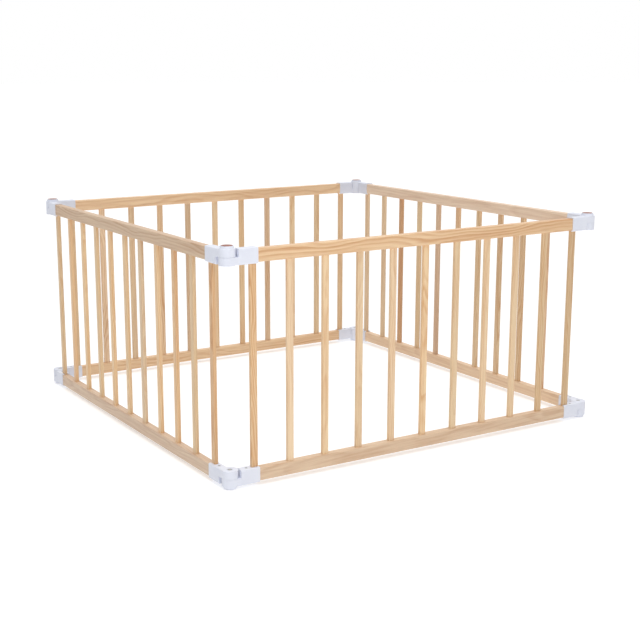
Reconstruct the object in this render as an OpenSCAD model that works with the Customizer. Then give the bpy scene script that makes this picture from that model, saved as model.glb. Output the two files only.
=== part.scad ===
// Folding square playpen: four slatted panels hinged at the corners.
// Origin at the middle of the floor outline, +Z up, front panel towards -Y.

/* [Overall] */
// Outer width of the square, across the bracket faces
overall_width = 1200; // [900:5:1500]
// Height from the floor to the top of the corner caps
overall_height = 600; // [480:5:800]

/* [Rails] */
// Height of each rail
rail_height = 33; // [27:0.5:45]
// Thickness of each rail
rail_depth = 22; // [18:0.5:30]
// Rounding of the rail's long edges
rail_edge_radius = 2; // [1:0.25:5]

/* [Slats] */
// Number of slats in a panel
slat_count = 11; // [5:1:15]
// Width of a slat
slat_width = 18; // [14:0.5:24]
// Thickness of a slat
slat_depth = 10; // [7:0.5:12]
// Rounding of the slat's long edges
slat_edge_radius = 2; // [1:0.25:3]
// Depth of the mortises in the rails
mortise_depth = 18; // [10:0.5:22]
// Middle of the end slat, from the hinge axis
end_slat_from_axis = 63.5; // [58:0.5:75]

/* [Brackets] */
// Thickness of the bracket's side walls
bracket_side_wall = 2; // [1.5:0.1:3]
// Thickness of the bracket's top and bottom walls
bracket_top_wall = 3; // [2.4:0.1:5]
// Thickness of the wall that closes the bracket behind the rail's end
bracket_end_wall = 3; // [2:0.1:6]
// Length of the bracket beyond the end slat
bracket_tail = 1; // [0.5:0.1:10]
// Rounding of the bracket's long edges
bracket_edge_radius = 3; // [1:0.25:4]
// Distance of the hinge axis inwards from the middle of the panel
hinge_inset = 7.5; // [6:0.25:9]

/* [Knuckles] */
// How far the knuckle stands proud of the bracket's outer face
knuckle_proud = 0.3; // [0.2:0.1:1]
// How far the knuckle's end stands above the bracket
knuckle_rise = 1; // [0.5:0.1:3]
// Gap between the two knuckles of a hinge
knuckle_gap = 0.4; // [0.4:0.1:1]
// Gap between a knuckle and the hollow end of the next bracket
swing_gap = 2; // [1:0.1:3]
// How far the outer lip of that hollow end reaches round the knuckle
lip_reach = 0.2; // [0:0.1:3]
// Rounding of the knuckle's rim
knuckle_rim_radius = 0.9; // [0.3:0.1:0.9]

/* [Corner bosses and discs] */
// Diameter of the cap and foot pad discs
disc_diameter = 28.6; // [22:0.2:31]
// Thickness of the rim of the boss round its disc
boss_rim = 1.5; // [1:0.1:2.5]
// How much wider, all round, the boss is where it meets the knuckle
boss_flare = 2; // [0.5:0.1:3]
// Height of the boss above the knuckle
boss_height = 6.2; // [5:0.1:9]
// Thickness of the discs
disc_thickness = 2.5; // [1.5:0.1:3]
// How far a disc stands out of its boss
disc_proud = 0.8; // [0.3:0.1:1.2]

/* [Fasteners] */
// Diameter of the hinge bolt's shank
bolt_diameter = 6; // [5:0.5:8]
// Diameter of the bolt head
bolt_head_diameter = 13; // [11:0.5:16]
// Height of the bolt head
bolt_head_height = 4; // [3:0.1:4.5]
// Nut size across the flats
nut_across_flats = 10; // [9:0.5:12]
// Height of the nut
nut_height = 5; // [4:0.1:7]
// Diameter of the wood screws
screw_diameter = 4; // [3:0.5:5]
// Diameter of the wood screw heads
screw_head_diameter = 7.6; // [6.5:0.1:9]
// Length of the wood screws
screw_length = 24; // [16:1:28]
// Middle of the screw, from the hinge axis
screw_from_axis = 41; // [38:0.5:44]

/* [Fits] */
// Radial clearance of a hinge bolt in its turning knuckle
bolt_clearance = 0.08; // [0.02:0.01:0.1]
// Radial clearance of the bolts at the corner that closes the square
closing_corner_clearance = 0.3; // [0.2:0.05:0.6]
// Clearance of a rail in its brackets, all round
rail_fit = 0.15; // [0.05:0.05:0.4]
// Clearance of a slat in its mortise, all round
slat_fit = 0.1; // [0.05:0.05:0.3]
// Clearance of the end slat in the bracket's slot, all round
slat_slot_fit = 0.5; // [0.2:0.1:0.8]
// Clearance of a disc, a bolt head or a nut in its recess
recess_fit = 0.2; // [0.1:0.05:0.5]
// Clearance of a screw in its hole
screw_fit = 0.05; // [0.02:0.01:0.2]

/* [Hidden] */
$fn = 64;

// Panel sides, as quarter turns from the front
FRONT = 0;
RIGHT = 1;
BACK = 2;
LEFT = 3;

// Overlap that carries a cut through the face it opens
cut_margin = 1;

// Bracket section, and the hinge axes that its outer face leads to
bracket_depth = rail_depth + 2 * bracket_side_wall;
bracket_height = rail_height + 2 * bracket_top_wall;
bracket_half = bracket_height / 2;
axis_side = overall_width - bracket_depth - 2 * hinge_inset;
knuckle_radius = hinge_inset + bracket_depth / 2 + knuckle_proud;
knuckle_end = bracket_half + knuckle_rise;

// Places along a panel, from the hinge axis
swing_radius = knuckle_radius + swing_gap;
lip_start = knuckle_radius - lip_reach;
rail_start = swing_radius + bracket_end_wall + rail_fit;
sleeve_end = end_slat_from_axis + slat_width / 2 + bracket_tail;
slat_pitch = (axis_side - 2 * end_slat_from_axis) / (slat_count - 1);

// Corner boss: its outline, and the seats for the disc and the bolt head
boss_end_radius = disc_diameter / 2 + recess_fit + boss_rim;
boss_base_radius = boss_end_radius + boss_flare;
boss_end = knuckle_end + boss_height;
disc_seat = boss_end + disc_proud - disc_thickness;
head_seat = disc_seat - bolt_head_height - recess_fit;

// Nut recess in the far knuckle
nut_stand_off = 0.8;
nut_gap = 0.3;
nut_recess_depth = nut_height + nut_stand_off;
nut_seat = -knuckle_end + nut_recess_depth;
nut_recess_diameter = nut_across_flats / cos(30) + 2 * nut_stand_off;
bolt_end = -knuckle_end + nut_stand_off / 2;

// Levels of the rails' middles
corner_stack = boss_end + disc_proud;
bottom_level = corner_stack;
top_level = overall_height - corner_stack;
slat_end_gap = 1;
slat_bottom = bottom_level + rail_height / 2 - mortise_depth + slat_end_gap;
slat_top = top_level - rail_height / 2 + mortise_depth - slat_end_gap;

// Wood screws: head set into the bracket wall, with a cross slot
screw_head_sink = 0.3;
screw_head_height = (screw_head_diameter - screw_diameter) / 2;
screw_tip_height = screw_diameter;
screw_slot_length = 4.6;
screw_slot_width = 1;
screw_slot_depth = 1.2;
screw_top = bracket_half - screw_head_sink;

// Small roundings, each kept clear of the next by a narrow flat
rounding_flat = 0.2;
slat_radius = min(slat_edge_radius, slat_depth / 2 - rounding_flat);
disc_rim_radius = min(disc_proud, disc_thickness / 2) - rounding_flat;
nut_chamfer = 0.6;

// Rectangle with rounded corners, centred
module rounded_rectangle(width, height, radius) {
    square([width, height - 2 * radius], center = true);
    square([width - 2 * radius, height], center = true);
    for (x = [-1, 1], y = [-1, 1])
        translate([x * (width / 2 - radius), y * (height / 2 - radius)])
            circle(radius);
}

// Outline in Y and Z, carried along +X from x = from to x = to
module along_x(from, to) {
    translate([from, 0, 0])
        rotate([90, 0, 90])
            linear_extrude(to - from)
                children();
}

// Turned solid with a rounded upper rim
module rimmed_disc(radius, bottom, top, rim) {
    translate([0, 0, bottom])
        rotate_extrude() {
            square([radius - rim, top - bottom]);
            square([radius, top - bottom - rim]);
            translate([radius - rim, top - bottom - rim])
                circle_quarter(rim);
        }
}

// Quarter of a circle, in the positive quadrant
module circle_quarter(radius) {
    intersection() {
        circle(radius);
        square(radius);
    }
}

// Turns a panel's own frame to its side of the square.
// In that frame X runs from the left hinge axis to the right one, seen from outside.
// -Y is outwards.
module on_side(side) {
    rotate([0, 0, 90 * side])
        translate([-axis_side / 2, -axis_side / 2, 0])
            children();
}

// Bracket places in a panel. A bracket's own frame has its origin on the hinge axis
// at the rail's middle, +X towards the rail and its knuckle on the upper half.
module at_top_left() {
    translate([0, 0, top_level])
        mirror([0, 0, 1])
            children();
}

module at_top_right() {
    translate([axis_side, 0, top_level])
        mirror([1, 0, 0])
            children();
}

module at_bottom_left() {
    translate([0, 0, bottom_level])
        mirror([0, 0, 1])
            children();
}

module at_bottom_right() {
    translate([axis_side, 0, bottom_level])
        mirror([1, 0, 0])
            children();
}

// Slat outline, grown by a clearance
module slat_outline(clearance) {
    rounded_rectangle(
        slat_width + 2 * clearance, slat_depth + 2 * clearance, slat_radius + clearance);
}

// Rail with its mortises on the slat side: slat_side is 1 above the rail and -1 below it
module rail(level, slat_side) {
    color("BurlyWood")
        translate([0, -hinge_inset, level])
            difference() {
                along_x(rail_start, axis_side - rail_start)
                    rounded_rectangle(rail_depth, rail_height, rail_edge_radius);
                rail_mortises(slat_side);
                rail_screw_holes(slat_side);
            }
}

module rail_mortises(slat_side) {
    mortise_middle = slat_side * (rail_height / 2 - mortise_depth / 2 + cut_margin / 2);
    for (i = [0 : slat_count - 1])
        translate([end_slat_from_axis + i * slat_pitch, 0, mortise_middle])
            linear_extrude(mortise_depth + cut_margin, center = true)
                slat_outline(slat_fit);
}

module rail_screw_holes(slat_side) {
    for (x = [screw_from_axis, axis_side - screw_from_axis])
        translate([x, 0, 0])
            mirror([0, 0, slat_side > 0 ? 0 : 1])
                screw_hole();
}

module slats() {
    color("Wheat")
        for (i = [0 : slat_count - 1])
            translate([end_slat_from_axis + i * slat_pitch, -hinge_inset, slat_bottom])
                linear_extrude(slat_top - slat_bottom)
                    slat_outline(0);
}

// Wood screw along Z with its head at the top
module screw() {
    shank = screw_diameter / 2;
    head = screw_head_diameter / 2;
    tip = screw_top - screw_length;
    difference() {
        rotate_extrude()
            polygon([
                [0, tip], [shank, tip + screw_tip_height], [shank, screw_top - screw_head_height],
                [head, screw_top], [0, screw_top]
            ]);
        for (turn = [0, 90])
            rotate([0, 0, turn])
                translate([0, 0, screw_top])
                    cube([screw_slot_length, screw_slot_width, 2 * screw_slot_depth], center = true);
    }
}

module screw_hole() {
    shank = screw_diameter / 2 + screw_fit;
    head = screw_head_diameter / 2 + screw_fit;
    tip = screw_top - screw_length - screw_fit;
    rotate_extrude()
        polygon([
            [0, tip - screw_fit], [shank, tip + screw_tip_height],
            [shank, screw_top - screw_head_height], [head, screw_top],
            [head, bracket_half + cut_margin], [0, bracket_half + cut_margin]
        ]);
}

// Sleeve round the rail's end. It reaches over the hinge axis on the knuckle's half only,
// and its other half ends in a hollow that clears the next bracket's knuckle.
module sleeve() {
    swing_height = bracket_half + knuckle_gap / 2 + cut_margin;
    difference() {
        translate([0, -hinge_inset, 0])
            along_x(0, sleeve_end)
                rounded_rectangle(bracket_depth, bracket_height, bracket_edge_radius);
        translate([0, 0, knuckle_gap / 2 - swing_height]) {
            translate([-cut_margin, -hinge_inset - bracket_depth, 0])
                cube([lip_start + cut_margin, 2 * bracket_depth, swing_height]);
            cylinder(h = swing_height, r = swing_radius);
        }
    }
}

// Rail pocket, slot for the end slat and screw hole.
// slat_side is 1 where they open on the knuckle's half and -1 on the other.
module sleeve_cuts(slat_side) {
    translate([0, -hinge_inset, 0]) {
        along_x(rail_start - rail_fit, sleeve_end + cut_margin)
            rounded_rectangle(
                rail_depth + 2 * rail_fit, rail_height + 2 * rail_fit, rail_edge_radius + rail_fit);
        mirror([0, 0, slat_side > 0 ? 0 : 1]) {
            slat_slot();
            translate([screw_from_axis, 0, 0])
                screw_hole();
        }
    }
}

// Slot for the end slat, open at the sleeve's end so that the bracket slides on past the slat
module slat_slot() {
    slot_width = slat_depth + 2 * slat_slot_fit;
    linear_extrude(bracket_half + cut_margin)
        translate([end_slat_from_axis, 0]) {
            slat_outline(slat_slot_fit);
            translate([0, -slot_width / 2])
                square([sleeve_end - end_slat_from_axis + cut_margin, slot_width]);
        }
}

// Bracket whose knuckle takes the turning bolt and hides its nut
module plain_bracket(clearance = bolt_clearance) {
    color("AliceBlue")
        difference() {
            union() {
                sleeve();
                rimmed_disc(knuckle_radius, knuckle_gap / 2, knuckle_end, knuckle_rim_radius);
            }
            sleeve_cuts(1);
            translate([0, 0, -cut_margin])
                cylinder(h = knuckle_end + 2 * cut_margin, r = bolt_diameter / 2 + clearance);
            translate([0, 0, knuckle_end - nut_recess_depth])
                cylinder(h = nut_recess_depth + cut_margin, d = nut_recess_diameter);
        }
}

// Bracket whose knuckle carries the boss, the disc and the bolt
module boss_bracket() {
    color("AliceBlue")
        difference() {
            union() {
                sleeve();
                rimmed_disc(knuckle_radius, knuckle_gap / 2, knuckle_end, knuckle_rim_radius);
                translate([0, 0, knuckle_end])
                    cylinder(h = boss_height, r1 = boss_base_radius, r2 = boss_end_radius);
            }
            sleeve_cuts(-1);
            translate([0, 0, -cut_margin])
                cylinder(h = boss_end, r = bolt_diameter / 2 + bolt_clearance);
            translate([0, 0, head_seat])
                cylinder(h = boss_end, d = bolt_head_diameter + 2 * recess_fit);
            translate([0, 0, disc_seat])
                cylinder(h = boss_end, d = disc_diameter + 2 * recess_fit);
        }
}

// Four wood screws, one through each bracket into its rail
module screws() {
    color("Silver") {
        at_top_left() screw_in_bracket(1);
        at_top_right() screw_in_bracket(-1);
        at_bottom_left() screw_in_bracket(-1);
        at_bottom_right() screw_in_bracket(1);
    }
}

module screw_in_bracket(slat_side) {
    translate([screw_from_axis, -hinge_inset, 0])
        mirror([0, 0, slat_side > 0 ? 0 : 1])
            screw();
}

// Hinge bolt in its bracket's frame: the head under the disc, the shank through both knuckles
module bolt() {
    head = bolt_head_diameter / 2;
    translate([0, 0, bolt_end])
        cylinder(h = head_seat - bolt_end + cut_margin, d = bolt_diameter);
    rimmed_disc(head, head_seat, head_seat + bolt_head_height, bolt_head_height / 2);
}

// Nut on the bolt's end, in the far knuckle's recess
module nut() {
    corner = nut_across_flats / cos(30) / 2;
    nut_bottom = nut_seat - nut_height - nut_gap;
    translate([0, 0, nut_bottom])
        difference() {
            intersection() {
                cylinder(h = nut_height, r = corner, $fn = 6);
                rotate_extrude()
                    polygon([
                        [0, 0], [corner - nut_chamfer, 0], [corner, nut_chamfer],
                        [corner, nut_height - nut_chamfer],
                        [corner - nut_chamfer, nut_height], [0, nut_height]
                    ]);
            }
            translate([0, 0, -cut_margin])
                cylinder(h = nut_height + 2 * cut_margin, d = bolt_diameter + 2 * screw_fit);
        }
}

// Each panel carries two hinge bolts: at the top of its right corner and the bottom of its left one
module bolts() {
    color("Silver") {
        at_top_right() bolt();
        at_bottom_left() bolt();
    }
}

module nuts() {
    color("Silver") {
        at_top_right() nut();
        at_bottom_left() nut();
    }
}

module disc() {
    color("RosyBrown")
        rimmed_disc(disc_diameter / 2, disc_seat, disc_seat + disc_thickness, disc_rim_radius);
}

module top_rail() {
    rail(top_level, -1);
}

module bottom_rail() {
    rail(bottom_level, 1);
}

on_side(FRONT) top_rail();  // front_top_rail
on_side(FRONT) bottom_rail();  // front_bottom_rail
on_side(FRONT) slats();  // front_slats
on_side(FRONT) at_top_left() plain_bracket();  // front_top_left_bracket
on_side(FRONT) at_top_right() boss_bracket();  // front_top_right_bracket
on_side(FRONT) at_bottom_left() boss_bracket();  // front_bottom_left_bracket
on_side(FRONT) at_bottom_right() plain_bracket();  // front_bottom_right_bracket
on_side(FRONT) screws();  // front_screws
on_side(FRONT) bolts();  // front_bolts
on_side(FRONT) nuts();  // front_nuts
on_side(FRONT) at_top_right() disc();  // front_cap
on_side(FRONT) at_bottom_left() disc();  // front_foot_pad

on_side(RIGHT) top_rail();  // right_top_rail
on_side(RIGHT) bottom_rail();  // right_bottom_rail
on_side(RIGHT) slats();  // right_slats
on_side(RIGHT) at_top_left() plain_bracket();  // right_top_left_bracket
on_side(RIGHT) at_top_right() boss_bracket();  // right_top_right_bracket
on_side(RIGHT) at_bottom_left() boss_bracket();  // right_bottom_left_bracket
on_side(RIGHT) at_bottom_right() plain_bracket(closing_corner_clearance);  // right_bottom_right_bracket
on_side(RIGHT) screws();  // right_screws
on_side(RIGHT) bolts();  // right_bolts
on_side(RIGHT) nuts();  // right_nuts
on_side(RIGHT) at_top_right() disc();  // right_cap
on_side(RIGHT) at_bottom_left() disc();  // right_foot_pad

on_side(BACK) top_rail();  // back_top_rail
on_side(BACK) bottom_rail();  // back_bottom_rail
on_side(BACK) slats();  // back_slats
on_side(BACK) at_top_left() plain_bracket(closing_corner_clearance);  // back_top_left_bracket
on_side(BACK) at_top_right() boss_bracket();  // back_top_right_bracket
on_side(BACK) at_bottom_left() boss_bracket();  // back_bottom_left_bracket
on_side(BACK) at_bottom_right() plain_bracket();  // back_bottom_right_bracket
on_side(BACK) screws();  // back_screws
on_side(BACK) bolts();  // back_bolts
on_side(BACK) nuts();  // back_nuts
on_side(BACK) at_top_right() disc();  // back_cap
on_side(BACK) at_bottom_left() disc();  // back_foot_pad

on_side(LEFT) top_rail();  // left_top_rail
on_side(LEFT) bottom_rail();  // left_bottom_rail
on_side(LEFT) slats();  // left_slats
on_side(LEFT) at_top_left() plain_bracket();  // left_top_left_bracket
on_side(LEFT) at_top_right() boss_bracket();  // left_top_right_bracket
on_side(LEFT) at_bottom_left() boss_bracket();  // left_bottom_left_bracket
on_side(LEFT) at_bottom_right() plain_bracket();  // left_bottom_right_bracket
on_side(LEFT) screws();  // left_screws
on_side(LEFT) bolts();  // left_bolts
on_side(LEFT) nuts();  // left_nuts
on_side(LEFT) at_top_right() disc();  // left_cap
on_side(LEFT) at_bottom_left() disc();  // left_foot_pad
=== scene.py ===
"""Looks of the folding playpen: pine rails and slats, white moulded hinge brackets, brown discs
and zinc fasteners."""

import math
import random

import bmesh
import bpy
from mathutils import Matrix, Vector


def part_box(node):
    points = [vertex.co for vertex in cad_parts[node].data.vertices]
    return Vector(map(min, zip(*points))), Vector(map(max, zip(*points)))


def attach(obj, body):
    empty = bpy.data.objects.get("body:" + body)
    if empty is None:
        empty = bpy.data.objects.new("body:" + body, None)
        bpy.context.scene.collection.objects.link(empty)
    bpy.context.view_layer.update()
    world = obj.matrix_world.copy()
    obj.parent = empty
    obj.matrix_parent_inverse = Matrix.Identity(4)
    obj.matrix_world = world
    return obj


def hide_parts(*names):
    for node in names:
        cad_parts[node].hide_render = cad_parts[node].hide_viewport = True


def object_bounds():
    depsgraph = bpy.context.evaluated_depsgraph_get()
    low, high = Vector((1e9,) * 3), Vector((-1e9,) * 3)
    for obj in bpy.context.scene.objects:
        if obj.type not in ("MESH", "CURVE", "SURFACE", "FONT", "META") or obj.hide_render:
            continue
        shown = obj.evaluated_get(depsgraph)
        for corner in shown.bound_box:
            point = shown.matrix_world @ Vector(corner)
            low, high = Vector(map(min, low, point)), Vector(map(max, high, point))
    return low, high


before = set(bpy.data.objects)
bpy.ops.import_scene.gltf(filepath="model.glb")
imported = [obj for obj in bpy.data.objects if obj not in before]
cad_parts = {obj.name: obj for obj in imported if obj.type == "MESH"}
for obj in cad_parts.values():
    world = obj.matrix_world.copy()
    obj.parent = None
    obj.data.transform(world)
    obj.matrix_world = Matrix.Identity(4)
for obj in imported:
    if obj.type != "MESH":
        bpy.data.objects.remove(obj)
cad_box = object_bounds()

MM = 0.001
QUARTER_TURN = math.radians(90)
WHITE = (1.0, 1.0, 1.0, 1.0)
PANELS = ("front", "right", "back", "left")
BRACKETS = ("top_left", "top_right", "bottom_left", "bottom_right")
FASTENERS = ("screws", "bolts", "nuts")


def srgb(red, green, blue):
    """A colour given as it looks on screen, 0 to 255, in Blender's linear values."""
    def linear(value):
        value /= 255
        return value / 12.92 if value <= 0.04045 else ((value + 0.055) / 1.055) ** 2.4

    return (linear(red), linear(green), linear(blue), 1.0)


# ------------------------------------------------------------ shapes' values

# Edges that turn more sharply than this are shaded as sharp ones, or softened by a bevel
SHARP_ANGLE = math.radians(32)
# Points nearer to each other than this are joined
WELD_DISTANCE = 0.002 * MM
# Faces that turn less than this from one to the next are joined
FLAT_ANGLE = math.radians(0.3)
# Width of the softened edges, and the faces across one
BRACKET_SOFTENING = 0.45 * MM
RAIL_SOFTENING = 0.3 * MM
SOFTENING_SEGMENTS = 3

# Disc profile: the drop of its crowned face, the radius of its rim, and the share of its radius
# at which the face has a ring of points
DISC_SEGMENTS = 72
DISC_CROWN = 0.35 * MM
DISC_RIM = 0.6 * MM
DISC_RIM_STEPS = 4
DISC_MIDDLE_RING = 0.6

# ------------------------------------------------------------- woods' values

# Pale wood, brown wood, ring spacing and strength of figure
RAIL_PINE = (srgb(237, 203, 162), srgb(196, 138, 86), 8.0 * MM, 0.8)
SLAT_PINE = (srgb(239, 210, 168), srgb(203, 146, 90), 5.0 * MM, 0.9)

# Wood of the pieces that have gone grey
GREYED_PALE = srgb(228, 207, 187)
GREYED_BROWN = srgb(184, 146, 118)

# Multiplied into the wood of the redder pieces
RED_CAST = srgb(247, 222, 202)

# What the colours of the darkest and of the lightest pieces are multiplied by
LIGHTNESS_RANGE = (0.82, 1.12)

# Noise cells in a metre, along the tree and across it
BROAD_WAVES = (2.6, 9.0)
MIDDLE_WAVES = (8.5, 26.0)
SHORT_WAVES = (26.0, 90.0)
FIBRES = (45.0, 1500.0)
STREAKS = (4.0, 190.0)
PATCHES = (2.2, 20.0)
FLECKS = (120.0, 2600.0)

# How far each wave moves the rings, from its lowest to its highest
BROAD_REACH = 60 * MM
MIDDLE_REACH = 14 * MM
SHORT_REACH = 1.6 * MM
NOISE_MIDDLE = 0.5

# Brown across a ring, as places and levels, and the least that a ring or a piece shows of it
RING_PROFILE = ((0.0, 0.3), (0.1, 0.02), (0.45, 0.1), (0.84, 1.0), (1.0, 0.3))
WEAKEST_RING = 0.4
WEAKEST_FIGURE = 0.25

# The brown that each noise adds: noise from and to, brown from and to
STREAK_BROWN = (0.35, 0.7, -0.1, 0.3)
PATCH_BROWN = (0.3, 0.7, -0.08, 0.16)
FIBRE_BROWN = (0.3, 0.7, -0.06, 0.06)
FLECK_BROWN = (0.66, 0.8, 0.0, 0.25)

# Relief of the grain: the share in it of late wood, which sinks, and of fibres, and its depth
LATE_WOOD_HEIGHT = -0.35
FIBRE_HEIGHT = 0.5
GRAIN_RELIEF = 0.06 * MM

# Lacquer: fibre noise from and to, and roughness from and to
LACQUER_ROUGHNESS = (0.25, 0.75, 0.4, 0.54)

# Distance of a piece from the pith of its tree, the most that the pith leans sideways for each
# unit of the piece's length, and where along the tree the piece was
RAIL_PITH = (20 * MM, 60 * MM)
SLAT_PITH = (25 * MM, 90 * MM)
PITH_LEAN = 0.03
TREE_PLACES = (1, 9)

# Tones that pieces draw where none is given: lightness from and to, most greyness and redness
DRAWN_LIGHTNESS = (0.2, 0.95)
DRAWN_GREYNESS = 0.4
DRAWN_REDNESS = 0.5

# Lightness, greyness, strength of figure and redness of the rails
RAIL_TONES = {
    "front_top_rail": (0.62, 0.0, 1.0, 0.0),
    "front_bottom_rail": (0.35, 0.45, 0.35, 0.0),
    "left_top_rail": (0.1, 0.35, 0.75, 0.0),
    "left_bottom_rail": (0.35, 0.6, 0.45, 0.0),
    "right_top_rail": (0.95, 0.75, 0.15, 0.0),
    "right_bottom_rail": (0.7, 0.35, 0.2, 0.0),
    "back_top_rail": (0.85, 0.1, 0.35, 0.0),
    "back_bottom_rail": (0.6, 0.05, 0.5, 0.0),
}

# The same for the slats that stand out from the rest
SLAT_TONES = {
    "front_slat_01": (0.5, 0.0, 1.0, 0.35),
    "front_slat_03": (0.75, 0.1, 0.4, 0.0),
    "front_slat_08": (0.75, 0.2, 0.2, 0.0),
    "front_slat_10": (0.3, 0.0, 0.6, 0.0),
    "front_slat_11": (0.05, 0.0, 0.5, 0.15),
    "right_slat_07": (0.3, 0.6, 0.2, 0.5),
    "right_slat_09": (0.1, 0.2, 0.3, 1.0),
    "left_slat_11": (0.4, 0.0, 0.8, 0.4),
}

# --------------------------------------------------- other materials' values

# The band that noise mostly keeps within
NOISE_BAND = (0.3, 0.7)

# Two shades that each material clouds between, and the colours of its marks
PLASTIC_SHADES = (srgb(226, 229, 241), srgb(231, 234, 245))
PLASTIC_MARKS = srgb(204, 206, 216)
DISC_SHADES = (srgb(142, 92, 80), srgb(158, 106, 92))
DISC_SPECKLE = srgb(112, 70, 62)
ZINC_SHADES = (srgb(168, 168, 172), srgb(192, 192, 190))
FLOOR_SHADES = (srgb(206, 206, 206), srgb(209, 209, 209))

# How marks show: noise from and to, and the share of their colour from and to
PLASTIC_MARKING = (0.62, 0.8, 0.0, 0.12)
DISC_SPECKLING = (0.5, 0.8, 0.0, 0.5)

# Roughness: marks' noise from and to, and roughness from and to
PLASTIC_ROUGHNESS = (0.3, 0.7, 0.34, 0.46)
DISC_ROUGHNESS = (0.2, 0.8, 0.55, 0.75)
ZINC_ROUGHNESS = (0.3, 0.7, 0.25, 0.45)

# Depths of the fine textures
PLASTIC_RELIEF = 0.02 * MM
DISC_RELIEF = 0.05 * MM
ZINC_RELIEF = 0.01 * MM

# ------------------------------------------------------------- stage's values

# Camera: its place as shares of the outline's width, its turns, its lens and how far it sees
VIEW_PLACE = Vector((-1.567, -2.509, 0.8455))
VIEW_YAW = math.radians(31.21)
VIEW_PITCH = math.radians(12.189)
VIEW_ROLL = math.radians(-0.151)
VIEW_LENS = 66.86
VIEW_SENSOR = 36.0
VIEW_SHIFT = (0.0471, 0.0003)
VIEW_REACH = 200

# Floor, and how strongly it glows
FLOOR_RADIUS = 60
FLOOR_SEGMENTS = 96
FLOOR_ROUGHNESS = 0.9
FLOOR_GLOW = 0.5

# Lights: the weak sky, the key and the cool fill, and the soft light from overhead
SKY_STRENGTH = 0.12
LIGHT_AIM = Vector((0, 0, 0.3))
KEY_PLACE = (-0.95, -2.8, 1.6)
KEY_SIZE = 1.1
KEY_POWER = 19
KEY_COLOUR = (1.0, 0.985, 0.96)
FILL_PLACE = (-2.5, -1.6, 1.4)
FILL_SIZE = 1.2
FILL_POWER = 3.6
FILL_COLOUR = (0.66, 0.82, 1.0)
OVERHEAD_STRENGTH = 2.45
OVERHEAD_SPREAD = math.radians(60)

# Sockets of the Mix node that mixing two colours uses
MIX_SHARE = 0
MIX_FIRST = 6
MIX_SECOND = 7
MIX_RESULT = 2


# ---------------------------------------------------------------- materials


class Shader:
    """A material and short ways to add nodes to it."""

    def __init__(self, name):
        self.material = bpy.data.materials.new(name)
        self.material.use_nodes = True
        self.tree = self.material.node_tree
        self.tree.nodes.clear()
        self.output = self.tree.nodes.new("ShaderNodeOutputMaterial")

    def node(self, kind, inputs=None, **settings):
        """A new node. An input is a value, or the socket that it comes from."""
        made = self.tree.nodes.new(kind)
        for key, value in settings.items():
            setattr(made, key, value)
        for key, value in (inputs or {}).items():
            socket = made.inputs[key]
            if isinstance(value, bpy.types.NodeSocket):
                self.tree.links.new(value, socket)
            else:
                socket.default_value = value
        return made

    def math(self, operation, first, second=0.0, clamp=False):
        inputs = {0: first, 1: second}
        return self.node("ShaderNodeMath", inputs, operation=operation, use_clamp=clamp).outputs[0]

    def scaled(self, vector, scale):
        inputs = {0: vector, 1: scale}
        return self.node("ShaderNodeVectorMath", inputs, operation="MULTIPLY").outputs[0]

    def noise(self, vector, scale=1.0, detail=2.0, roughness=0.5):
        inputs = {"Vector": vector, "Scale": scale, "Detail": detail, "Roughness": roughness}
        return self.node("ShaderNodeTexNoise", inputs).outputs["Fac"]

    def spread(self, value, low, high, to_low=0.0, to_high=1.0):
        inputs = {"Value": value, "From Min": low, "From Max": high, "To Min": to_low, "To Max": to_high}
        return self.node("ShaderNodeMapRange", inputs, clamp=True).outputs["Result"]

    def mix(self, share, first, second, blend="MIX"):
        inputs = {MIX_SHARE: share, MIX_FIRST: first, MIX_SECOND: second}
        made = self.node("ShaderNodeMix", inputs, data_type="RGBA", blend_type=blend)
        return made.outputs[MIX_RESULT]

    def ramp(self, value, stops):
        """Grey levels along a smooth ramp, from pairs of a place and a level."""
        made = self.node("ShaderNodeValToRGB", {"Fac": value})
        made.color_ramp.interpolation = "B_SPLINE"
        elements = made.color_ramp.elements
        while len(elements) < len(stops):
            elements.new(1.0)
        for element, (place, level) in zip(elements, stops):
            element.position = place
            element.color = (level, level, level, 1.0)
        return made.outputs["Color"]

    def bump(self, height, distance, strength):
        inputs = {"Height": height, "Distance": distance, "Strength": strength}
        return self.node("ShaderNodeBump", inputs).outputs["Normal"]

    def surface(self, **inputs):
        """The finished material. Spaces in the shader's input names are given as underscores."""
        named = {key.replace("_", " "): value for key, value in inputs.items()}
        shader = self.node("ShaderNodeBsdfPrincipled", named)
        self.tree.links.new(shader.outputs["BSDF"], self.output.inputs["Surface"])
        return self.material


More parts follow.
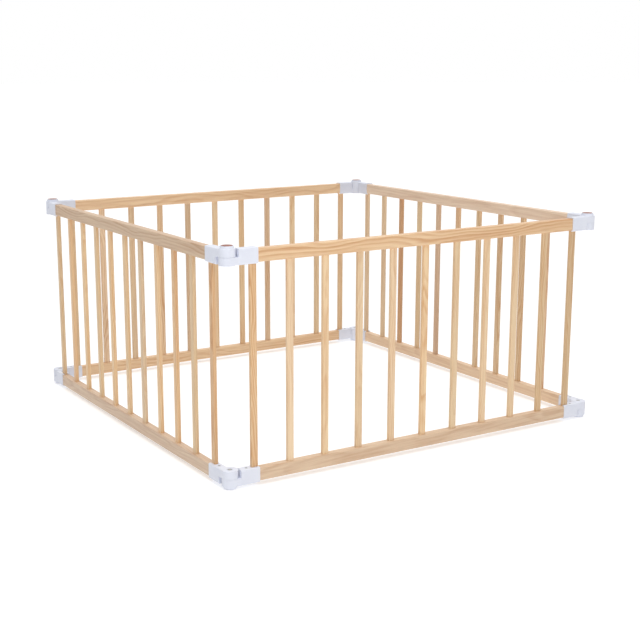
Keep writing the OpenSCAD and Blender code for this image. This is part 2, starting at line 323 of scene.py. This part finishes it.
def wood(name, pale, brown, ring_spacing, figure):
    """Lacquered pine.

    The grain attribute holds places in the tree: X along it, Y and Z across it from the pith.
    The tone attribute holds a piece's own lightness, greyness, strength of figure and redness,
    each from 0 to 1.
    """
    s = Shader(name)
    grain = s.node("ShaderNodeAttribute", attribute_name="grain").outputs["Vector"]
    tone = s.node("ShaderNodeAttribute", attribute_name="tone").outputs
    lightness, greyness, strength = s.node("ShaderNodeSeparateColor", {"Color": tone["Color"]}).outputs
    redness = tone["Alpha"]

    def grain_noise(cells, detail, roughness=0.5):
        along, across = cells
        return s.noise(s.scaled(grain, (along, across, across)), detail=detail, roughness=roughness)

    from_pith = s.scaled(grain, (0.0, 1.0, 1.0))
    place = s.node("ShaderNodeVectorMath", {0: from_pith}, operation="LENGTH").outputs["Value"]
    waves = (
        (grain_noise(BROAD_WAVES, detail=1.0), BROAD_REACH),
        (grain_noise(MIDDLE_WAVES, detail=1.0), MIDDLE_REACH),
        (grain_noise(SHORT_WAVES, detail=2.0), SHORT_REACH),
    )
    for wave, reach in waves:
        place = s.math("ADD", place, s.math("MULTIPLY", s.math("SUBTRACT", wave, NOISE_MIDDLE), reach))
    rings = s.math("DIVIDE", place, ring_spacing)
    late_wood = s.ramp(s.math("FRACT", rings), RING_PROFILE)
    ring_number = {"W": s.math("FLOOR", rings)}
    ring_strength = s.node("ShaderNodeTexWhiteNoise", ring_number, noise_dimensions="1D").outputs["Value"]
    late_wood = s.math("MULTIPLY", late_wood, s.spread(ring_strength, 0.0, 1.0, WEAKEST_RING, 1.0))

    fibre = grain_noise(FIBRES, detail=3.0, roughness=0.6)
    streak = grain_noise(STREAKS, detail=3.0, roughness=0.6)
    patch = grain_noise(PATCHES, detail=2.0)
    fleck = grain_noise(FLECKS, detail=1.0)

    shown = s.math("MULTIPLY", s.spread(strength, 0.0, 1.0, WEAKEST_FIGURE, 1.0), figure)
    browned = s.math("MULTIPLY", late_wood, shown)
    browned = s.math("ADD", browned, s.spread(streak, *STREAK_BROWN))
    browned = s.math("ADD", browned, s.spread(patch, *PATCH_BROWN))
    browned = s.math("ADD", browned, s.spread(fibre, *FIBRE_BROWN))
    browned = s.math("ADD", browned, s.spread(fleck, *FLECK_BROWN), clamp=True)
    greyed = s.mix(browned, GREYED_PALE, GREYED_BROWN)
    colour = s.mix(greyness, s.mix(browned, pale, brown), greyed)
    level = s.spread(lightness, 0.0, 1.0, *LIGHTNESS_RANGE)
    light_cast = s.node("ShaderNodeCombineColor", {"Red": level, "Green": level, "Blue": level})
    colour = s.mix(1.0, colour, light_cast.outputs["Color"], blend="MULTIPLY")
    colour = s.mix(redness, colour, RED_CAST, blend="MULTIPLY")

    ring_relief = s.math("MULTIPLY", late_wood, LATE_WOOD_HEIGHT)
    height = s.math("ADD", ring_relief, s.math("MULTIPLY", fibre, FIBRE_HEIGHT))
    return s.surface(
        Base_Color=colour,
        Roughness=s.spread(fibre, *LACQUER_ROUGHNESS),
        Normal=s.bump(height, GRAIN_RELIEF, strength=0.6),
        Coat_Weight=0.08,
        Coat_Roughness=0.25,
    )


def moulded_plastic():
    """White polypropylene with a faint cast of blue, a fine moulded texture and slight marks."""
    s = Shader("White_plastic")
    place = s.node("ShaderNodeTexCoord").outputs["Object"]
    skin = s.noise(place, scale=2600.0, detail=2.0)
    marks = s.noise(s.scaled(place, (60.0, 60.0, 220.0)), detail=4.0, roughness=0.6)
    cloud = s.noise(place, scale=28.0, detail=2.0)
    colour = s.mix(s.spread(cloud, *NOISE_BAND), *PLASTIC_SHADES)
    colour = s.mix(s.spread(marks, *PLASTIC_MARKING), colour, PLASTIC_MARKS)
    return s.surface(
        Base_Color=colour,
        Roughness=s.spread(marks, *PLASTIC_ROUGHNESS),
        Normal=s.bump(skin, PLASTIC_RELIEF, strength=0.5),
    )


def disc_material():
    """Reddish brown disc of firm rubber with a fine speckle."""
    s = Shader("Brown_disc")
    place = s.node("ShaderNodeTexCoord").outputs["Object"]
    speckle = s.noise(place, scale=1900.0, detail=3.0, roughness=0.7)
    cloud = s.noise(place, scale=120.0, detail=2.0)
    colour = s.mix(s.spread(cloud, *NOISE_BAND), *DISC_SHADES)
    colour = s.mix(s.spread(speckle, *DISC_SPECKLING), colour, DISC_SPECKLE)
    return s.surface(
        Base_Color=colour,
        Roughness=s.spread(speckle, *DISC_ROUGHNESS),
        Normal=s.bump(speckle, DISC_RELIEF, strength=0.6),
    )


def zinc_steel():
    """Bright zinc plate with fine marks."""
    s = Shader("Zinc_steel")
    place = s.node("ShaderNodeTexCoord").outputs["Object"]
    marks = s.noise(place, scale=900.0, detail=4.0, roughness=0.65)
    cloud = s.noise(place, scale=180.0, detail=2.0)
    return s.surface(
        Base_Color=s.mix(s.spread(cloud, *NOISE_BAND), *ZINC_SHADES),
        Metallic=1.0,
        Roughness=s.spread(marks, *ZINC_ROUGHNESS),
        Normal=s.bump(marks, ZINC_RELIEF, strength=0.5),
    )


# ------------------------------------------------------------------- pieces


def panel_turn(panel):
    """The turn from a panel's own frame to its place. In its own frame, X runs from left to right
    as seen from outside, and -Y points outwards."""
    return Matrix.Rotation(QUARTER_TURN * PANELS.index(panel), 3, "Z")


def welded(node):
    """A bmesh of a CAD node's shape, with its seams closed and its flat faces whole."""
    shape = bmesh.new()
    shape.from_mesh(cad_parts[node].data)
    bmesh.ops.remove_doubles(shape, verts=shape.verts, dist=WELD_DISTANCE)
    bmesh.ops.dissolve_limit(
        shape, angle_limit=FLAT_ANGLE, verts=shape.verts, edges=shape.edges, use_dissolve_boundaries=False)
    return shape


def loose_parts(shape):
    """The vertices of each separate solid in a bmesh."""
    left = set(shape.verts)
    while left:
        part = set()
        waiting = [next(iter(left))]
        while waiting:
            vertex = waiting.pop()
            if vertex in part:
                continue
            part.add(vertex)
            waiting.extend(edge.other_vert(vertex) for edge in vertex.link_edges)
        left -= part
        yield part


def make_object(name, shape, material):
    """A new object from a bmesh, which it uses up."""
    mesh = bpy.data.meshes.new(name)
    shape.to_mesh(mesh)
    shape.free()
    mesh.shade_smooth()
    mesh.set_sharp_from_angle(angle=SHARP_ANGLE)
    mesh.materials.append(material)
    made = bpy.data.objects.new(name, mesh)
    bpy.context.scene.collection.objects.link(made)
    return made


def soften(piece, width):
    """Rounds a piece's sharp edges a little."""
    bevel = piece.modifiers.new("Softened_edges", "BEVEL")
    bevel.limit_method = "ANGLE"
    bevel.angle_limit = SHARP_ANGLE
    bevel.width = width
    bevel.segments = SOFTENING_SEGMENTS
    bevel.harden_normals = True


def write_attribute(mesh, name, kind, field, values):
    """Gives every vertex of a mesh a value of its own."""
    attribute = mesh.attributes.new(name, kind, "POINT")
    attribute.data.foreach_set(field, [number for value in values for number in value])


def give_grain(piece, panel, along_panel, pith_range, tone=None):
    """Places a wooden piece in a tree of its own: where its pith was, how its rings lie and its tone."""
    draw = random.Random(piece.name)
    turn = panel_turn(panel).inverted()
    corners = [turn @ Vector(corner) for corner in piece.bound_box]
    middle = sum(corners, Vector()) / len(corners)
    ring_turn = Matrix.Rotation(draw.uniform(0, math.tau), 2)
    pith = Vector((draw.uniform(*pith_range), 0))
    lean = Vector((draw.uniform(-1, 1), draw.uniform(-1, 1))) * PITH_LEAN
    start = draw.uniform(*TREE_PLACES)
    places = []
    for vertex in piece.data.vertices:
        own = turn @ vertex.co - middle
        length, height = (own.x, own.z) if along_panel else (own.z, own.x)
        across = ring_turn @ Vector((height, own.y)) + pith + lean * length
        places.append((start + length, across.x, across.y))
    write_attribute(piece.data, "grain", "FLOAT_VECTOR", "vector", places)
    drawn = (
        draw.uniform(*DRAWN_LIGHTNESS),
        DRAWN_GREYNESS * draw.random() ** 2,
        draw.random(),
        DRAWN_REDNESS * draw.random() ** 3,
    )
    write_attribute(piece.data, "tone", "FLOAT_COLOR", "color", [tone or drawn] * len(places))


def finish_piece(piece, panel, node):
    """Hangs a piece on its panel, in the place of the CAD node that it shows."""
    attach(piece, panel + "_panel")
    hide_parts(node)


def make_rails(panel, material):
    for level in ("top", "bottom"):
        node = f"{panel}_{level}_rail"
        rail = make_object(node + "_pine", welded(node), material)
        give_grain(rail, panel, along_panel=True, pith_range=RAIL_PITH, tone=RAIL_TONES[node])
        soften(rail, RAIL_SOFTENING)
        finish_piece(rail, panel, node)


def make_slats(panel, material):
    """Splits a panel's group of slats, and numbers them from its left end."""
    node = panel + "_slats"
    shape = welded(node)
    turn = panel_turn(panel).inverted()
    parts = sorted(loose_parts(shape), key=lambda part: min((turn @ vertex.co).x for vertex in part))
    for number, part in enumerate(parts, start=1):
        single = shape.copy()
        places = {tuple(vertex.co) for vertex in part}
        others = [vertex for vertex in single.verts if tuple(vertex.co) not in places]
        bmesh.ops.delete(single, geom=others, context="VERTS")
        slat = make_object(f"{panel}_slat_{number:02d}", single, material)
        tone = SLAT_TONES.get(slat.name)
        give_grain(slat, panel, along_panel=False, pith_range=SLAT_PITH, tone=tone)
        finish_piece(slat, panel, node)
    shape.free()


def make_brackets(panel, material):
    for place in BRACKETS:
        node = f"{panel}_{place}_bracket"
        bracket = make_object(node + "_moulding", welded(node), material)
        soften(bracket, BRACKET_SOFTENING)
        finish_piece(bracket, panel, node)


def disc_profile(radius, face, back):
    """The disc's outline, as pairs of distance from its axis and height: from the middle of its
    crowned face, over its rounded rim, to the middle of its back."""
    sign = math.copysign(1, face - back)
    ring = radius * DISC_MIDDLE_RING
    ring_height = face - sign * DISC_CROWN * (ring / radius) ** 2
    profile = [(0.0, face), (ring, ring_height)]
    rim_middle = (radius - DISC_RIM, face - sign * (DISC_CROWN + DISC_RIM))
    for step in range(DISC_RIM_STEPS + 1):
        angle = QUARTER_TURN * (1 - step / DISC_RIM_STEPS)
        distance = rim_middle[0] + DISC_RIM * math.cos(angle)
        height = rim_middle[1] + sign * DISC_RIM * math.sin(angle)
        profile.append((distance, height))
    return profile + [(radius, back), (0.0, back)]


def turned_disc(name, low, high, crown_up, material):
    """A disc with a rounded rim and a slightly crowned face, turned about the middle of its box."""
    centre = (low + high) / 2
    heights = (high.z - centre.z, low.z - centre.z)
    face, back = heights if crown_up else reversed(heights)
    shape = bmesh.new()
    rings = []
    for distance, height in disc_profile((high.x - low.x) / 2, face, back):
        ring = []
        for step in range(DISC_SEGMENTS if distance else 1):
            angle = math.tau * step / DISC_SEGMENTS
            point = Vector((distance * math.cos(angle), distance * math.sin(angle), height))
            ring.append(shape.verts.new(centre + point))
        rings.append(ring)
    for inner, outer in zip(rings, rings[1:]):
        for step in range(DISC_SEGMENTS):
            following = (step + 1) % DISC_SEGMENTS
            corners = [inner[step % len(inner)], outer[step % len(outer)],
                       outer[following % len(outer)], inner[following % len(inner)]]
            shape.faces.new(list(dict.fromkeys(corners)))
    bmesh.ops.recalc_face_normals(shape, faces=shape.faces)
    return make_object(name, shape, material)


def make_discs(panel, material):
    for kind, crown_up in (("cap", True), ("foot_pad", False)):
        node = f"{panel}_{kind}"
        low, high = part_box(node)
        disc = turned_disc(node + "_disc", low, high, crown_up, material)
        finish_piece(disc, panel, node)


def paint_node(node, material):
    """Gives a CAD node that is shown as it is its material."""
    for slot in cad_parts[node].material_slots:
        slot.material = material


# -------------------------------------------------------------------- stage


def make_camera(width):
    """The camera at the viewing angle, placed from the outline's width."""
    cos_yaw = math.cos(VIEW_YAW)
    sin_yaw = math.sin(VIEW_YAW)
    cos_pitch = math.cos(VIEW_PITCH)
    sin_pitch = math.sin(VIEW_PITCH)
    ahead = Vector((sin_yaw * cos_pitch, cos_yaw * cos_pitch, -sin_pitch))
    right = Vector((cos_yaw, -sin_yaw, 0))
    up = right.cross(ahead)
    rolled_right = right * math.cos(VIEW_ROLL) + up * math.sin(VIEW_ROLL)
    rolled_up = up * math.cos(VIEW_ROLL) - right * math.sin(VIEW_ROLL)
    data = bpy.data.cameras.new("View")
    data.lens = VIEW_LENS
    data.sensor_width = VIEW_SENSOR
    data.shift_x, data.shift_y = VIEW_SHIFT
    data.clip_end = VIEW_REACH
    camera = bpy.data.objects.new("View", data)
    bpy.context.scene.collection.objects.link(camera)
    axes = Matrix((rolled_right, rolled_up, -ahead)).transposed().to_4x4()
    camera.matrix_world = Matrix.Translation(VIEW_PLACE * width) @ axes
    bpy.context.scene.camera = camera


def make_floor():
    """A pale floor with a slight glow, so that it looks white."""
    s = Shader("Floor")
    place = s.node("ShaderNodeTexCoord").outputs["Object"]
    cloud = s.noise(place, scale=0.8, detail=2.0)
    material = s.surface(
        Base_Color=s.mix(s.spread(cloud, *NOISE_BAND), *FLOOR_SHADES),
        Roughness=FLOOR_ROUGHNESS,
        Specular_IOR_Level=0.1,
        Emission_Color=WHITE,
        Emission_Strength=FLOOR_GLOW,
    )
    shape = bmesh.new()
    bmesh.ops.create_circle(shape, cap_ends=True, segments=FLOOR_SEGMENTS, radius=FLOOR_RADIUS)
    floor = make_object("Floor", shape, material)


def area_light(name, place, size, power, colour):
    """A round soft light that the camera doesn't see."""
    data = bpy.data.lights.new(name, "AREA")
    data.shape = "DISK"
    data.size = size
    data.energy = power
    data.color = colour
    lamp = bpy.data.objects.new(name, data)
    bpy.context.scene.collection.objects.link(lamp)
    lamp.location = place
    lamp.visible_camera = False
    lamp.rotation_euler = (LIGHT_AIM - Vector(place)).to_track_quat("-Z", "Y").to_euler()


def make_world():
    """A weak white sky, which the camera and glossy surfaces see as full white."""
    world = bpy.data.worlds.new("Studio")
    world.use_nodes = True
    nodes = world.node_tree.nodes
    links = world.node_tree.links
    sky = nodes["Background"]
    sky.inputs["Color"].default_value = WHITE
    sky.inputs["Strength"].default_value = SKY_STRENGTH
    backdrop = nodes.new("ShaderNodeBackground")
    backdrop.inputs["Color"].default_value = WHITE
    rays = nodes.new("ShaderNodeLightPath")
    seen = nodes.new("ShaderNodeMath")
    seen.operation = "MAXIMUM"
    shown = nodes.new("ShaderNodeMixShader")
    links.new(rays.outputs["Is Camera Ray"], seen.inputs[0])
    links.new(rays.outputs["Is Glossy Ray"], seen.inputs[1])
    links.new(seen.outputs["Value"], shown.inputs["Fac"])
    links.new(sky.outputs["Background"], shown.inputs[1])
    links.new(backdrop.outputs["Background"], shown.inputs[2])
    links.new(shown.outputs["Shader"], nodes["World Output"].inputs["Surface"])
    bpy.context.scene.world = world


def make_lights():
    area_light("Key", KEY_PLACE, KEY_SIZE, KEY_POWER, KEY_COLOUR)
    area_light("Fill", FILL_PLACE, FILL_SIZE, FILL_POWER, FILL_COLOUR)
    overhead = bpy.data.lights.new("Overhead", "SUN")
    overhead.energy = OVERHEAD_STRENGTH
    overhead.angle = OVERHEAD_SPREAD
    lamp = bpy.data.objects.new("Overhead", overhead)
    bpy.context.scene.collection.objects.link(lamp)


bpy.context.scene.view_settings.view_transform = "Standard"

rail_wood = wood("Rail_pine", *RAIL_PINE)
slat_wood = wood("Slat_pine", *SLAT_PINE)
white_plastic = moulded_plastic()
brown_disc = disc_material()
zinc = zinc_steel()

for panel in PANELS:
    make_rails(panel, rail_wood)
    make_slats(panel, slat_wood)
    make_brackets(panel, white_plastic)
    make_discs(panel, brown_disc)
    for fastener in FASTENERS:
        paint_node(f"{panel}_{fastener}", zinc)

make_floor()
make_world()
make_lights()
make_camera(cad_box[1].x - cad_box[0].x)
